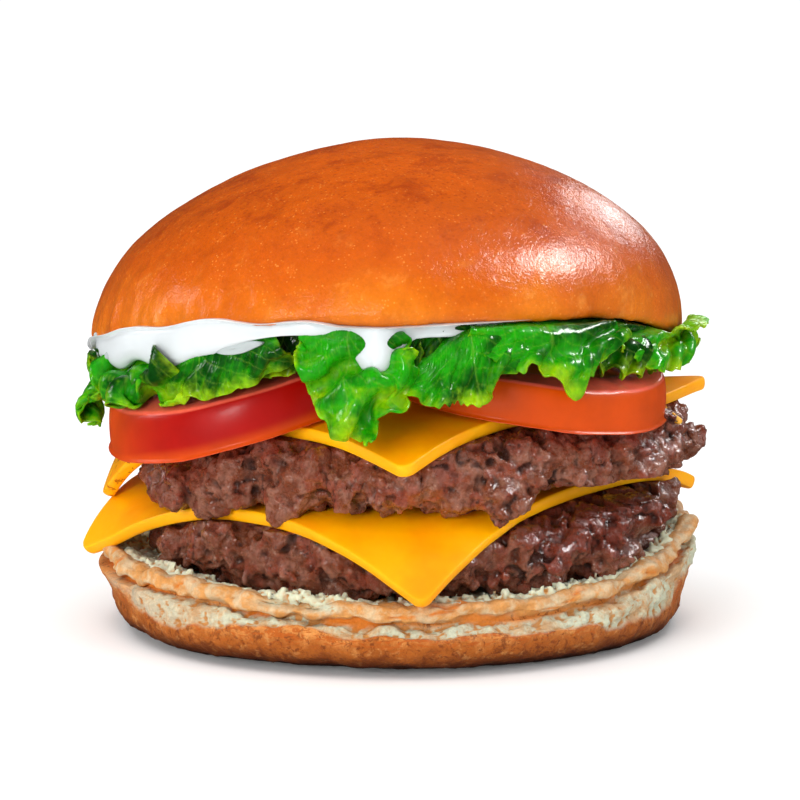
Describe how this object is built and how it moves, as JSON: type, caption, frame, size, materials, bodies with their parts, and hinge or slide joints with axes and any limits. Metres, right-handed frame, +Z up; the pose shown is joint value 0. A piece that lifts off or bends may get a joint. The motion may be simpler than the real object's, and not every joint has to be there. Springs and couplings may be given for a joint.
{
  "type": "double cheeseburger",
  "caption": "Double cheeseburger: domed golden bun over white sauce, ruffled lettuce, thick tomato slices, melted cheese slices and coarse beef patties on a torn, crusty heel",
  "frame": {"origin": "the middle of the flat underside of the bottom bun, at the level of the surface that the burger stands on", "axes": "+Z points up through the stack; -Y is the front, where a corner of each cheese slice hangs down; +X is to the right when seen from the front"},
  "size_m": [0.1256, 0.1214, 0.096],
  "materials": {
    "crown_crust": "glossy egg-washed golden-brown crust",
    "heel_crust": "matte baked crust with torn pale crumb",
    "beef": "moist seared ground beef",
    "cheese": "soft satin melted slice",
    "tomato": "wet glossy skin and flesh",
    "lettuce": "waxy, slightly see-through leaf",
    "sauce": "glossy cream"
  },
  "bodies": {
    "root": {"bun_crown": "crown_crust", "bun_heel": "heel_crust", "patty_lower": "beef", "patty_upper": "beef", "cheese_lower": "cheese", "cheese_upper": "cheese", "tomato_left": "tomato", "tomato_right": "tomato", "tomato_back": "tomato", "white_sauce": "sauce", "lettuce_far_left": "lettuce", "lettuce_left": "lettuce", "lettuce_left_inner": "lettuce", "lettuce_centre": "lettuce", "lettuce_centre_right": "lettuce", "lettuce_right": "lettuce", "lettuce_right_dark": "lettuce", "lettuce_far_right": "lettuce", "lettuce_back_right": "lettuce", "lettuce_back_middle": "lettuce", "lettuce_back_left": "lettuce", "lettuce_left_back": "lettuce"}
  },
  "joints": []
}
